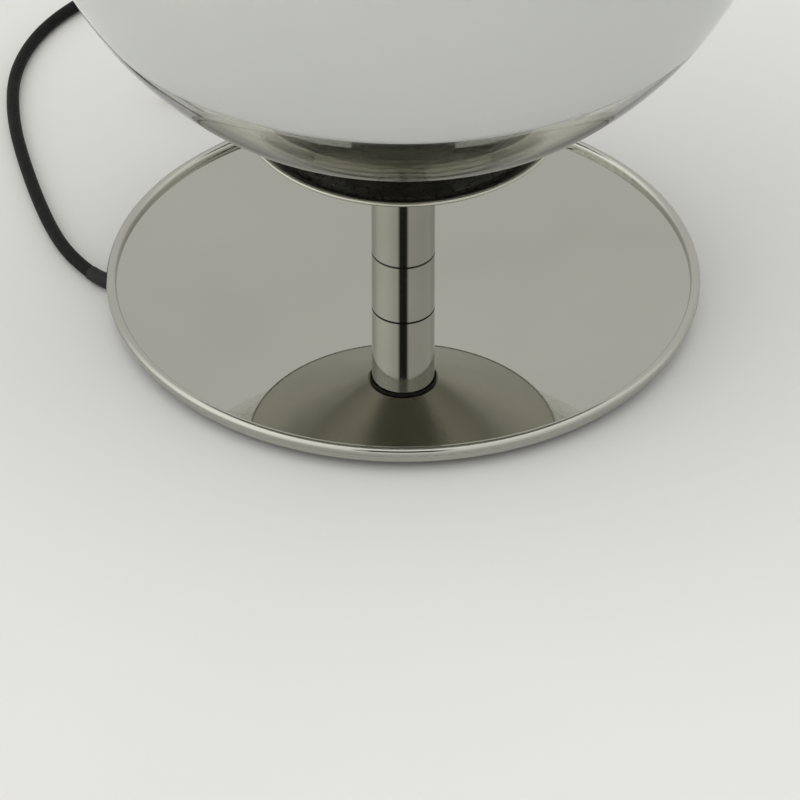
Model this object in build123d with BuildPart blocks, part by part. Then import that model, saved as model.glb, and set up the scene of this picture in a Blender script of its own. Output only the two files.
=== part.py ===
from build123d import *
import os
from math import acos, asin, atan2, cos, degrees, pi, radians, sin, sqrt, tan

os.makedirs("parts", exist_ok=True)

# Glass globe table lamp.
# Frame: origin at the middle of the felt on the table, +Z up, the cord leaves towards -X.
# All sizes are in millimetres.

# ---------------------------------------------------------------- driving sizes
# clearances
corner_share = 0.45     # share of a cord's run that a corner may take
slip = 0.1              # radial play of pieces that slide or screw together
play = 0.4              # play round a piece that lies loose in its pocket

# base: spun sheet with a rolled rim, cast ballast, felt
base_diameter = 280.0
rim_bead = 4.8          # thickness of the rolled rim
rim_rise = 3.5          # top of the rim above the polished floor
floor_height = 10.0     # polished floor above the table
sheet = 1.5             # spun sheet of the base and of the cup
skirt_inset = 0.6       # skirt behind the middle of the bead
skirt_lift = 5.0        # skirt above the table
felt_thick = 2.0
ballast_diameter = 250.0
ballast_hole = 48.0     # diameter of the space for the nut
ballast_screw_ring = 160.0
ballast_screw_count = 3
stud_diameter = 8.0
stud_length = 4.5
screw_m4 = 3.8          # shank of the ballast screws
screw_m4_head = 7.2
screw_head_thick = 1.3

# hollow threaded rod and its nuts
rod_diameter = 10.0
rod_bore = 7.0
nut_flats = 17.0
nut_thick = 3.0
washer_diameter = 21.0
washer_thick = 0.9

# stem
stem_diameter = 30.0
stem_wall = 2.0
collar_height = 16.0
collar_spigot = 6.6
tube_length = 40.9
bush_height = 8.3
seam_chamfer = 0.35
gasket_thick = 1.8
gasket_lip = 0.8        # gasket stands proud of the stem

# cup under the globe
cup_rim_diameter = 149.0
cup_height = 35.9       # from the gasket to the top of the cup's rim
cup_flat = 33.0         # diameter of the flat bottom
cup_bead = 2.2
carrier_flange = 3.4    # top of the carrier's flange under the rim
carrier_sheet = 2.0
carrier_gap = 0.7       # flange to the cup's wall
carrier_boss = 104.0
carrier_rise = 5.3      # boss above the flange
spacer_diameter = 16.0
ring_thick = 2.0        # rubber ring under the glass
spigot_wall = 1.5       # ring that keeps the mouth of the globe in place
spigot_height = 8.0

# globe: clear glass over an opal glass lining
globe_diameter = 350.0
mouth_diameter = 90.8   # outer edge of the ground mouth
mouth_bore = 76.0
clear_wall = 4.0
clear_drop = 1.5        # the inside sits higher, so that the bottom is thicker
opal_wall = 1.2
opal_gap = 0.05
opal_edge_height = 82.0 # lower edge of the opal lining above the mouth

# lampholder and bulb
holder_diameter = 40.0
holder_wall = 2.0
holder_floor = 3.0
holder_cap_height = 14.0
holder_body_height = 40.0
holder_ring_diameter = 48.0
holder_ring_height = 6.0
holder_ring_lift = 34.0
insert_thick = 10.0
insert_lift = 9.0       # ledge in the cap that carries the ceramic insert
ledge_width = 2.0
rod_rise = 1.0          # rod above the floor of the cap
screw_shell_height = 28.0
screw_shell_wall = 0.4
screw_shell_gap = 0.3
terminal_length = 5.0
terminal_width = 4.0
terminal_height = 4.5
terminal_spread = 18.0
centre_contact = 8.0
centre_contact_thick = 1.6
bulb_cap_diameter = 26.4
bulb_cap_height = 22.0
bulb_cap_wall = 0.8
bulb_diameter = 60.0
bulb_glass_wall = 1.0
bulb_neck_diameter = 24.0
bulb_shoulder_diameter = 26.4
bulb_shoulder_height = 8.0
bulb_sink = 3.0         # glass neck inside the cap
bulb_equator = 52.0     # widest place above the cap
bulb_insulator_height = 3.4
bulb_contact_diameter = 10.0
bulb_contact_height = 1.0
bulb_stem_diameter = 8.0
bulb_stem_height = 30.0
filament_count = 4
filament_ring = 14.0
filament_diameter = 1.6
filament_length = 32.0
spider_diameter = 17.0
spider_thick = 0.8

# cord
cord_diameter = 6.2
cord_exit_height = 4.4  # middle of the cord where it leaves the base
cord_rest = 3.2         # middle of the cord where it lies on the table
cord_stop = 44.0        # where the jacket ends inside the base
cord_bend_start = 17.0  # inside the rim
cord_bend_radius = 32.0
cord_bend_turn = 50.0
sleeve_root = 8.0       # diameter of the tapered sleeve inside the base
sleeve_tip = 7.0
sleeve_start_turn = 2.0
sleeve_stations = 5
groove_width = 7.2
clamp_place = 67.0
clamp_length = 16.0
clamp_width = 22.0
clamp_lift = 0.9        # underside above the table
clamp_screw = 3.0
clamp_screw_head = 5.6
clamp_screw_head_thick = 1.3
clamp_screw_spread = 14.4
clamp_screw_length = 6.6
lead_diameter = 2.0
lead_spread = 2.6
lead_low = 3.2          # height of the leads under the rod
lead_drop_from = 34.0
lead_drop_to = 20.0
lead_ease = 40.0
lead_bend = 3.0
lead_turn = 2.0

# switch on the cord
switch_length = 58.0
switch_width = 24.0
switch_height = 15.0
switch_lift = 0.2
switch_x = -87.0
switch_corner = 5.0
switch_edge = 1.0
rocker_length = 16.0
rocker_width = 9.0
rocker_height = 11.0
rocker_foot = 6.0       # length of the narrow foot under the pivot
rocker_depth = 5.0      # foot under the pivot
rocker_cheek = 0.6      # where the sides end under the pivot
rocker_tilt = 8.0       # one end is up at rest, and the other end goes up to the same height
rocker_pivot_height = 10.4
rocker_play = 1.2
rocker_side_play = 0.3
rocker_axle = 3.0
rocker_axle_length = 14.0
contact_length = 12.0
contact_width = 5.0
contact_thick = 0.8
switch_screw = 2.4
switch_screw_head = 4.6
switch_screw_head_thick = 1.4
switch_screw_length = 9.0
switch_screw_spread = 44.0

# coil: two layers, in and out again
coil_x = 20.0
coil_y = 214.0
coil_lift = 4.0         # middle of the lower layer
coil_outer = 44.4       # where the cord comes in
coil_core = 22.4        # where the spiral reverses
coil_pitch = 6.8        # from turn to turn, and from layer to layer
coil_half_turns = 13
tie_width = 8.0
tie_thick = 0.5
tie_play = 0.3

# plug
plug_body_length = 24.0
plug_width = 34.0
plug_height = 13.7
plug_lift = 0.1
plug_waist = 14.0
plug_shoulder = 14.0
plug_snout = 10.0
plug_snout_tip = 8.0
plug_snout_length = 12.0
plug_round = 3.0
plug_edge = 1.2
pin_diameter = 4.0
pin_length = 19.0
pin_seat = 6.0
pin_root = 3.2          # diameter of the pin's seat in the plug
pin_spread = 19.0
pin_round = 1.2

# routes of the free cord, from the sleeve to the switch and from the coil to the plug,
# chosen by hand: the ends are worked out below
run_lead = 16.0         # straight out of the sleeve
run_points = [
    (-169.8, 53.0, cord_rest),
    (-182.0, 97.0, cord_rest),
    (-191.4, 143.0, cord_rest),
    (-192.4, 186.0, cord_rest),
    (-178.6, 226.0, cord_rest),
    (-149.0, coil_y + coil_outer, coil_lift),
]
tail_points = [
    (-6.0, coil_y - coil_outer, coil_lift + coil_pitch),
    (-30.0, 172.6, plug_lift + plug_height / 2),
    (-50.0, 172.6, plug_lift + plug_height / 2),
]

# ---------------------------------------------------------------- worked out from them
base_radius = base_diameter / 2
bead_radius = rim_bead / 2
bead_ring = base_radius - bead_radius
bead_height = floor_height + rim_rise - bead_radius
skirt_outer = bead_ring - skirt_inset
skirt_inner = skirt_outer - sheet
floor_under = floor_height - sheet
ballast_radius = ballast_diameter / 2
felt_radius = ballast_radius - play
rod_radius = rod_diameter / 2
rod_hole = rod_radius + slip
nut_hole = rod_radius + slip / 2
stem_radius = stem_diameter / 2
tube_inner = stem_radius - stem_wall
seam_height = floor_height + collar_height
stem_top = seam_height + tube_length
cup_bottom = stem_top + gasket_thick
cup_rim_radius = cup_rim_diameter / 2
cup_rim_height = cup_bottom + cup_height
cup_bead_radius = cup_bead / 2
cup_reach = cup_rim_radius - cup_bead_radius - cup_flat / 2
cup_rise = cup_height - cup_bead_radius - sheet / 2
cup_slope = atan2(cup_rise, cup_reach)
cup_fold = sheet / 2 * tan(cup_slope / 2)
flange_top = cup_rim_height - carrier_flange
flange_low = flange_top - carrier_sheet
boss_top = flange_top + carrier_rise
boss_radius = carrier_boss / 2
mouth_height = boss_top + ring_thick
spigot_radius = mouth_bore / 2 - play
globe_radius = globe_diameter / 2
globe_middle = mouth_height + sqrt(globe_radius ** 2 - (mouth_diameter / 2) ** 2)
clear_inner = globe_radius - clear_wall
inner_middle = globe_middle + clear_drop
opal_outer = clear_inner - opal_gap
opal_edge = mouth_height + opal_edge_height
washer_low = floor_under - washer_thick
nut_low = washer_low - nut_thick
top_nut_low = boss_top + washer_thick
holder_low = top_nut_low + nut_thick
holder_radius = holder_diameter / 2
holder_inner = holder_radius - holder_wall
insert_low = holder_low + insert_lift
insert_top = insert_low + insert_thick
rod_top = holder_low + holder_floor + rod_rise
body_low = holder_low + holder_cap_height
contact_top = insert_top + centre_contact_thick
bulb_low = contact_top + slip
cap_low = bulb_low + bulb_contact_height + bulb_insulator_height
cap_top = cap_low + bulb_cap_height
bulb_cap_radius = bulb_cap_diameter / 2
cord_radius = cord_diameter / 2
cord_bore = cord_radius + slip / 2
bend_x = cord_bend_start - base_radius
clamp_middle = cord_exit_height
switch_y = coil_y + coil_outer
switch_split = coil_lift


def cup_inside_at(height):
    """Inner radius of the cup's wall at a height."""
    return cup_flat / 2 - cup_fold + (height - cup_bottom - sheet) / tan(cup_slope)


def bend_point(turn, height=cord_exit_height):
    """Middle of the cord after it has turned by some degrees from its way out of the base."""
    angle = radians(turn)
    return Vector(bend_x - cord_bend_radius * sin(angle), cord_bend_radius * (1 - cos(angle)), height)


def bend_plane(turn):
    """Plane square to the cord at that place."""
    angle = radians(turn)
    return Plane(origin=bend_point(turn), z_dir=(-cos(angle), sin(angle), 0))


def corner_radii(points):
    """One radius for each corner of a route, as large as its two runs allow."""
    radii = []
    for before, corner, after in zip(points, points[1:], points[2:]):
        first = Vector(*corner) - Vector(*before)
        second = Vector(*after) - Vector(*corner)
        half_turn = radians(first.get_angle(second)) / 2
        radii.append(corner_share * min(first.length, second.length) / tan(half_turn))
    return radii


def report_tube(name, solid, path, section):
    """Print a tube's length, and its volume beside its section times its length."""
    print(f"{name}: length {path.length:.1f}, volume {solid.volume:.1f}, expected {section * path.length:.1f}")


# ---------------------------------------------------------------- base
# where the tapered sleeve crosses the skirt, and the notch that it needs there
skirt_turn = degrees(asin((skirt_outer + bend_x) / cord_bend_radius))
notch_y = bend_point(skirt_turn).Y
notch_width = sleeve_root / cos(radians(skirt_turn)) + 4 * play
notch_pocket = 2 * (notch_y + sleeve_root / 2 + 2 * play)
notch_reach = 2 * cord_bend_start + 2 * sleeve_root

with BuildPart() as base_shell:
    with BuildSketch(Plane.XZ):
        with Locations((0, floor_under)):
            Rectangle(bead_ring, sheet, align=(Align.MIN, Align.MIN))
        with Locations((skirt_inner, skirt_lift)):
            Rectangle(sheet, floor_under - skirt_lift + sheet / 2, align=(Align.MIN, Align.MIN))
        with Locations((bead_ring, bead_height)):
            Circle(bead_radius)
        with Locations((0, floor_under)):
            Rectangle(rod_hole, sheet, align=(Align.MIN, Align.MIN), mode=Mode.SUBTRACT)
    revolve(axis=Axis.Z)
    with BuildSketch(Plane.XY.offset(skirt_lift - sheet)):
        with Locations((-skirt_outer, notch_y)):
            Rectangle(rim_bead, notch_width)
    extrude(amount=floor_under - skirt_lift + sheet, mode=Mode.SUBTRACT)

base_shell.part.label = "base_shell"
export_step(base_shell.part, "parts/base_shell.step")

with BuildPart() as base_ballast:
    with BuildSketch(Plane.XY.offset(felt_thick)):
        Circle(ballast_radius)
        Circle(ballast_hole / 2, mode=Mode.SUBTRACT)
        with Locations((-base_radius / 2, 0)):
            Rectangle(base_radius, groove_width, mode=Mode.SUBTRACT)
        with Locations((-clamp_place, 0)):
            Rectangle(clamp_length + 2 * play, clamp_width + 2 * play, mode=Mode.SUBTRACT)
        with Locations((-base_radius, notch_y)):
            Rectangle(notch_reach, notch_pocket, mode=Mode.SUBTRACT)
    extrude(amount=floor_under - felt_thick)
    with BuildSketch(Plane.XY.offset(felt_thick)):
        with PolarLocations(ballast_screw_ring / 2, ballast_screw_count):
            Circle(screw_m4_head / 2 + play)
    extrude(amount=screw_head_thick + play, mode=Mode.SUBTRACT)
    with BuildSketch(Plane.XY.offset(floor_under - stud_length - play)):
        with PolarLocations(ballast_screw_ring / 2, ballast_screw_count):
            Circle(stud_diameter / 2 + play)
    extrude(amount=stud_length + play, mode=Mode.SUBTRACT)
    with BuildSketch(Plane.XY.offset(felt_thick)):
        with PolarLocations(ballast_screw_ring / 2, ballast_screw_count):
            Circle(screw_m4 / 2 + slip)
    extrude(amount=floor_under - felt_thick, mode=Mode.SUBTRACT)

base_ballast.part.label = "base_ballast"
export_step(base_ballast.part, "parts/base_ballast.step")

with BuildPart() as base_felt:
    with BuildSketch():
        Circle(felt_radius)
        with Locations((-base_radius, 0)):
            Rectangle(2 * (base_radius - cord_stop + play), groove_width, mode=Mode.SUBTRACT)
        with Locations((-clamp_place, 0)):
            Rectangle(clamp_length + 2 * play, clamp_width + 2 * play, mode=Mode.SUBTRACT)
        with Locations((-base_radius, notch_y)):
            Rectangle(notch_reach, notch_pocket, mode=Mode.SUBTRACT)
    extrude(amount=felt_thick)

base_felt.part.label = "base_felt"
export_step(base_felt.part, "parts/base_felt.step")

# welded studs and the screws that hold the ballast to them
with BuildPart() as base_studs:
    with BuildSketch(Plane.XY.offset(floor_under - stud_length)):
        with PolarLocations(ballast_screw_ring / 2, ballast_screw_count):
            Circle(stud_diameter / 2)
            Circle(screw_m4 / 2 + slip, mode=Mode.SUBTRACT)
    extrude(amount=stud_length)

base_studs.part.label = "base_studs"
export_step(base_studs.part, "parts/base_studs.step")

with BuildPart() as base_screws:
    with BuildSketch(Plane.XY.offset(felt_thick + play / 2)):
        with PolarLocations(ballast_screw_ring / 2, ballast_screw_count):
            Circle(screw_m4_head / 2)
    extrude(amount=screw_head_thick)
    with BuildSketch(Plane.XY.offset(felt_thick + play / 2)):
        with PolarLocations(ballast_screw_ring / 2, ballast_screw_count):
            Circle(screw_m4 / 2)
    extrude(amount=floor_under - felt_thick - play)

base_screws.part.label = "base_screws"
export_step(base_screws.part, "parts/base_screws.step")

with BuildPart() as base_washer:
    with BuildSketch(Plane.XY.offset(washer_low)):
        Circle(washer_diameter / 2)
        Circle(rod_hole, mode=Mode.SUBTRACT)
    extrude(amount=washer_thick)

base_washer.part.label = "base_washer"
export_step(base_washer.part, "parts/base_washer.step")

with BuildPart() as base_nut:
    with BuildSketch(Plane.XY.offset(nut_low)):
        RegularPolygon(nut_flats / 2, 6, major_radius=False)
        Circle(nut_hole, mode=Mode.SUBTRACT)
    extrude(amount=nut_thick)

base_nut.part.label = "base_nut"
export_step(base_nut.part, "parts/base_nut.step")

# ---------------------------------------------------------------- stem
with BuildPart() as threaded_rod:
    with BuildSketch(Plane.XY.offset(nut_low)):
        Circle(rod_radius)
        Circle(rod_bore / 2, mode=Mode.SUBTRACT)
    extrude(amount=rod_top - nut_low)

threaded_rod.part.label = "threaded_rod"
export_step(threaded_rod.part, "parts/threaded_rod.step")

with BuildPart() as stem_collar:
    with BuildSketch(Plane.XY.offset(floor_height)):
        Circle(stem_radius)
        Circle(rod_hole, mode=Mode.SUBTRACT)
    extrude(amount=collar_height)
    chamfer(stem_collar.faces().sort_by(Axis.Z)[-1].outer_wire().edges(), seam_chamfer)
    with BuildSketch(Plane.XY.offset(seam_height)):
        Circle(tube_inner - slip)
        Circle(rod_hole, mode=Mode.SUBTRACT)
    extrude(amount=collar_spigot)

stem_collar.part.label = "stem_collar"
export_step(stem_collar.part, "parts/stem_collar.step")

with BuildPart() as stem_tube:
    with BuildSketch(Plane.XY.offset(seam_height)):
        Circle(stem_radius)
        Circle(tube_inner, mode=Mode.SUBTRACT)
    extrude(amount=tube_length)
    chamfer(stem_tube.faces().sort_by(Axis.Z)[0].outer_wire().edges(), seam_chamfer)

stem_tube.part.label = "stem_tube"
export_step(stem_tube.part, "parts/stem_tube.step")

with BuildPart() as stem_bush:
    with BuildSketch(Plane.XY.offset(stem_top - bush_height)):
        Circle(tube_inner - slip)
        Circle(rod_hole, mode=Mode.SUBTRACT)
    extrude(amount=bush_height)

stem_bush.part.label = "stem_bush"
export_step(stem_bush.part, "parts/stem_bush.step")

with BuildPart() as stem_gasket:
    with BuildSketch(Plane.XY.offset(stem_top)):
        Circle(stem_radius + gasket_lip)
        Circle(rod_hole, mode=Mode.SUBTRACT)
    extrude(amount=gasket_thick)
    fillet(stem_gasket.faces().sort_by(Axis.Z)[0].outer_wire().edges(), gasket_lip / 2)

stem_gasket.part.label = "stem_gasket"
export_step(stem_gasket.part, "parts/stem_gasket.step")

# ---------------------------------------------------------------- cup and carrier
cup_bead_place = (cup_rim_radius - cup_bead_radius, cup_rim_height - cup_bead_radius)
wall_across = sheet / 2 * sin(cup_slope)
wall_down = sheet / 2 * cos(cup_slope)

with BuildPart() as cup:
    with BuildSketch(Plane.XZ):
        with BuildLine():
            Polyline(
                (rod_hole, cup_bottom),
                (cup_flat / 2 + cup_fold, cup_bottom),
                (cup_bead_place[0] + wall_across, cup_bead_place[1] - wall_down),
                (cup_bead_place[0] - wall_across, cup_bead_place[1] + wall_down),
                (cup_flat / 2 - cup_fold, cup_bottom + sheet),
                (rod_hole, cup_bottom + sheet),
                close=True,
            )
        make_face()
        with Locations(cup_bead_place):
            Circle(cup_bead_radius)
    revolve(axis=Axis.Z)

cup.part.label = "cup"
export_step(cup.part, "parts/cup.step")

with BuildPart() as cup_spacer:
    with BuildSketch(Plane.XY.offset(cup_bottom + sheet)):
        Circle(spacer_diameter / 2)
        Circle(rod_hole, mode=Mode.SUBTRACT)
    extrude(amount=boss_top - carrier_sheet - cup_bottom - sheet)

cup_spacer.part.label = "cup_spacer"
export_step(cup_spacer.part, "parts/cup_spacer.step")

# pressed carrier: a flange just under the rim, and a boss that carries the glass
flange_radius = cup_inside_at(flange_low) - carrier_gap

with BuildPart() as globe_carrier:
    with BuildSketch(Plane.XZ):
        with BuildLine():
            Polyline(
                (rod_hole, boss_top - carrier_sheet),
                (boss_radius - carrier_sheet, boss_top - carrier_sheet),
                (boss_radius - carrier_sheet, flange_low),
                (flange_radius, flange_low),
                (flange_radius, flange_top),
                (boss_radius, flange_top),
                (boss_radius, boss_top),
                (rod_hole, boss_top),
                close=True,
            )
        make_face()
    revolve(axis=Axis.Z)
    fillet(globe_carrier.faces().sort_by(Axis.Z)[-1].outer_wire().edges(), carrier_sheet / 2)

globe_carrier.part.label = "globe_carrier"
export_step(globe_carrier.part, "parts/globe_carrier.step")

with BuildPart() as globe_ring:
    with BuildSketch(Plane.XY.offset(boss_top)):
        Circle(mouth_diameter / 2 + ring_thick)
        Circle(spigot_radius + slip, mode=Mode.SUBTRACT)
    extrude(amount=ring_thick)

globe_ring.part.label = "globe_ring"
export_step(globe_ring.part, "parts/globe_ring.step")

with BuildPart() as globe_spigot:
    with BuildSketch(Plane.XY.offset(boss_top)):
        Circle(spigot_radius)
        Circle(spigot_radius - spigot_wall, mode=Mode.SUBTRACT)
    extrude(amount=spigot_height)
    fillet(globe_spigot.faces().sort_by(Axis.Z)[-1].outer_wire().edges(), spigot_wall / 3)

globe_spigot.part.label = "globe_spigot"
export_step(globe_spigot.part, "parts/globe_spigot.step")

with BuildPart() as top_washer:
    with BuildSketch(Plane.XY.offset(boss_top)):
        Circle(washer_diameter / 2)
        Circle(rod_hole, mode=Mode.SUBTRACT)
    extrude(amount=washer_thick)

top_washer.part.label = "top_washer"
export_step(top_washer.part, "parts/top_washer.step")

with BuildPart() as top_nut:
    with BuildSketch(Plane.XY.offset(top_nut_low)):
        RegularPolygon(nut_flats / 2, 6, major_radius=False)
        Circle(nut_hole, mode=Mode.SUBTRACT)
    extrude(amount=nut_thick)

top_nut.part.label = "top_nut"
export_step(top_nut.part, "parts/top_nut.step")

# ---------------------------------------------------------------- globe
with BuildPart() as globe_clear:
    with BuildSketch(Plane.XZ):
        with Locations((0, globe_middle)):
            Circle(globe_radius)
        with Locations((0, inner_middle)):
            Circle(clear_inner, mode=Mode.SUBTRACT)
        with Locations((0, mouth_height)):
            Rectangle(mouth_bore, globe_radius, mode=Mode.SUBTRACT)
            Rectangle(globe_diameter, globe_radius, align=(Align.CENTER, Align.MAX), mode=Mode.SUBTRACT)
            Rectangle(globe_radius, 2 * globe_diameter, align=(Align.MAX, Align.CENTER), mode=Mode.SUBTRACT)
    revolve(axis=Axis.Z)

globe_clear.part.label = "globe_clear"
export_step(globe_clear.part, "parts/globe_clear.step")

with BuildPart() as globe_opal:
    with BuildSketch(Plane.XZ):
        with Locations((0, inner_middle)):
            Circle(opal_outer)
            Circle(opal_outer - opal_wall, mode=Mode.SUBTRACT)
        with Locations((0, opal_edge)):
            Rectangle(globe_diameter, globe_diameter, align=(Align.CENTER, Align.MAX), mode=Mode.SUBTRACT)
            Rectangle(globe_radius, 2 * globe_diameter, align=(Align.MAX, Align.CENTER), mode=Mode.SUBTRACT)
    revolve(axis=Axis.Z)

globe_opal.part.label = "globe_opal"
export_step(globe_opal.part, "parts/globe_opal.step")

# ---------------------------------------------------------------- lampholder
with BuildPart() as holder_cap:
    with BuildSketch(Plane.XY.offset(holder_low)):
        Circle(holder_radius)
        Circle(nut_hole, mode=Mode.SUBTRACT)
    extrude(amount=holder_cap_height)
    with BuildSketch(Plane.XY.offset(holder_low + holder_floor)):
        Circle(holder_inner - ledge_width)
    extrude(amount=holder_cap_height - holder_floor, mode=Mode.SUBTRACT)
    with BuildSketch(Plane.XY.offset(insert_low)):
        Circle(holder_inner)
    extrude(amount=holder_cap_height - insert_lift, mode=Mode.SUBTRACT)
    fillet(holder_cap.faces().sort_by(Axis.Z)[0].outer_wire().edges(), holder_wall / 2)

holder_cap.part.label = "holder_cap"
export_step(holder_cap.part, "parts/holder_cap.step")

with BuildPart() as holder_body:
    with BuildSketch(Plane.XY.offset(body_low)):
        Circle(holder_radius)
        Circle(holder_inner, mode=Mode.SUBTRACT)
    extrude(amount=holder_body_height)
    chamfer(holder_body.faces().sort_by(Axis.Z)[-1].outer_wire().edges(), holder_wall / 4)

holder_body.part.label = "holder_body"
export_step(holder_body.part, "parts/holder_body.step")

with BuildPart() as holder_ring:
    with BuildSketch(Plane.XY.offset(holder_low + holder_ring_lift)):
        Circle(holder_ring_diameter / 2)
        Circle(holder_radius + slip / 2, mode=Mode.SUBTRACT)
    extrude(amount=holder_ring_height)
    chamfer(holder_ring.faces().sort_by(Axis.Z)[-1].outer_wire().edges(), holder_wall / 2)

holder_ring.part.label = "holder_ring"
export_step(holder_ring.part, "parts/holder_ring.step")

with BuildPart() as holder_insert:
    with BuildSketch(Plane.XY.offset(insert_low)):
        Circle(holder_inner - slip)
    extrude(amount=insert_thick)

holder_insert.part.label = "holder_insert"
export_step(holder_insert.part, "parts/holder_insert.step")

shell_inner = bulb_cap_radius + screw_shell_gap

with BuildPart() as screw_shell:
    with BuildSketch(Plane.XY.offset(insert_top)):
        Circle(shell_inner + screw_shell_wall)
        Circle(shell_inner, mode=Mode.SUBTRACT)
    extrude(amount=screw_shell_height)

screw_shell.part.label = "screw_shell"
export_step(screw_shell.part, "parts/screw_shell.step")

with BuildPart() as holder_contact:
    with BuildSketch(Plane.XY.offset(insert_top)):
        Circle(centre_contact / 2)
    extrude(amount=centre_contact_thick)

holder_contact.part.label = "holder_contact"
export_step(holder_contact.part, "parts/holder_contact.step")

for number, side in enumerate((-1, 1), start=1):
    with BuildPart() as terminal:
        with BuildSketch(Plane.XY.offset(insert_low - terminal_height)):
            with Locations((0, side * terminal_spread / 2)):
                Rectangle(terminal_length, terminal_width)
        extrude(amount=terminal_height)

    terminal.part.label = f"terminal_{number}"
    export_step(terminal.part, f"parts/terminal_{number}.step")

# ---------------------------------------------------------------- bulb


def bulb_profile(inset):
    """Points of the glass bulb from its neck to its top, set in from the outside."""
    ball = bulb_diameter / 2 - inset
    middle = cap_top + bulb_equator
    shoulder = (bulb_shoulder_diameter / 2 - inset, cap_top + bulb_shoulder_height)
    drop = middle - shoulder[1]
    reach = sqrt(shoulder[0] ** 2 + drop ** 2)
    turn = acos(ball / reach) - atan2(drop, shoulder[0])
    touch = (ball * cos(turn), middle + ball * sin(turn))
    return shoulder, touch, (0, middle + ball)


def bulb_outline(inset, low):
    """Closed outline of the bulb on the plane XZ, for a revolved solid."""
    shoulder, touch, top = bulb_profile(inset)
    neck = bulb_neck_diameter / 2 - inset
    with BuildLine() as outline:
        Polyline((0, low), (neck, low), (neck, cap_top), shoulder, touch)
        TangentArc(touch, top, tangent=(touch[0] - shoulder[0], touch[1] - shoulder[1]))
        Line(top, (0, low))
    return outline.line


with BuildPart() as bulb_glass:
    with BuildSketch(Plane.XZ):
        add(bulb_outline(0, cap_top - bulb_sink))
        make_face()
    revolve(axis=Axis.Z)
    with BuildSketch(Plane.XZ):
        add(bulb_outline(bulb_glass_wall, cap_top - bulb_sink + bulb_glass_wall))
        make_face()
    revolve(axis=Axis.Z, mode=Mode.SUBTRACT)

bulb_glass.part.label = "bulb_glass"
export_step(bulb_glass.part, "parts/bulb_glass.step")

with BuildPart() as bulb_cap:
    with BuildSketch(Plane.XY.offset(cap_low)):
        Circle(bulb_cap_radius)
    extrude(amount=bulb_cap_height)
    with BuildSketch(Plane.XY.offset(cap_low + bulb_cap_wall)):
        Circle(bulb_cap_radius - bulb_cap_wall)
    extrude(amount=bulb_cap_height - bulb_cap_wall, mode=Mode.SUBTRACT)
    fillet(bulb_cap.faces().sort_by(Axis.Z)[0].outer_wire().edges(), bulb_cap_wall)

bulb_cap.part.label = "bulb_cap"
export_step(bulb_cap.part, "parts/bulb_cap.step")

with BuildPart() as bulb_insulator:
    with BuildSketch(Plane.XY.offset(cap_low - bulb_insulator_height)):
        Circle(bulb_contact_diameter / 2)
    with BuildSketch(Plane.XY.offset(cap_low)):
        Circle(bulb_cap_radius - 2 * bulb_cap_wall)
    loft()

bulb_insulator.part.label = "bulb_insulator"
export_step(bulb_insulator.part, "parts/bulb_insulator.step")

with BuildPart() as bulb_contact:
    with BuildSketch(Plane.XY.offset(bulb_low)):
        Circle(bulb_contact_diameter / 2)
    extrude(amount=bulb_contact_height)
    fillet(bulb_contact.faces().sort_by(Axis.Z)[0].edges(), bulb_contact_height / 2)

bulb_contact.part.label = "bulb_contact"
export_step(bulb_contact.part, "parts/bulb_contact.step")

# glass stem, the wheel that it carries and the filaments that stand round it
stem_low = cap_top - bulb_sink + bulb_glass_wall
wheel_low = stem_low + bulb_stem_height

with BuildPart() as bulb_stem:
    with BuildSketch(Plane.XY.offset(stem_low)):
        Circle(bulb_stem_diameter / 2)
    extrude(amount=bulb_stem_height)

bulb_stem.part.label = "bulb_stem"
export_step(bulb_stem.part, "parts/bulb_stem.step")

with BuildPart() as bulb_wheel:
    with BuildSketch(Plane.XY.offset(wheel_low)):
        Circle(spider_diameter / 2)
    extrude(amount=spider_thick)

bulb_wheel.part.label = "bulb_wheel"
export_step(bulb_wheel.part, "parts/bulb_wheel.step")

with BuildPart() as bulb_filaments:
    with BuildSketch(Plane.XY.offset(wheel_low + spider_thick)):
        with PolarLocations(filament_ring / 2, filament_count):
            Circle(filament_diameter / 2)
    extrude(amount=filament_length)

bulb_filaments.part.label = "bulb_filaments"
export_step(bulb_filaments.part, "parts/bulb_filaments.step")

# ---------------------------------------------------------------- cord inside the base
with BuildPart() as cord_inner:
    with BuildLine() as inner_path:
        Line((-cord_stop, 0, cord_exit_height), bend_point(0))
        TangentArc(bend_point(0), bend_point(cord_bend_turn), tangent=(-1, 0, 0))
    with BuildSketch(Plane(origin=inner_path.line @ 0, z_dir=inner_path.line % 0)):
        Circle(cord_radius)
    sweep()

cord_inner.part.label = "cord_inner"
export_step(cord_inner.part, "parts/cord_inner.step")
report_tube("cord_inner", cord_inner.part, inner_path.wire(), pi * cord_radius ** 2)

# tapered sleeve that eases the cord out of the base
with BuildPart() as cord_sleeve:
    with BuildLine() as sleeve_path:
        TangentArc(
            bend_point(sleeve_start_turn),
            bend_point(cord_bend_turn),
            tangent=bend_plane(sleeve_start_turn).z_dir,
        )
    for station in range(sleeve_stations):
        share = station / (sleeve_stations - 1)
        turn = sleeve_start_turn + share * (cord_bend_turn - sleeve_start_turn)
        with BuildSketch(bend_plane(turn)):
            Circle((sleeve_root + share * (sleeve_tip - sleeve_root)) / 2)
    sweep(multisection=True)
    with BuildSketch(bend_plane(sleeve_start_turn)):
        Circle(cord_bore)
    sweep(path=sleeve_path.line, mode=Mode.SUBTRACT)

cord_sleeve.part.label = "cord_sleeve"
export_step(cord_sleeve.part, "parts/cord_sleeve.step")

# two halves of the cord clamp, screwed together from below
clamp_screw_places = [(-clamp_place, side * clamp_screw_spread / 2) for side in (-1, 1)]


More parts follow.
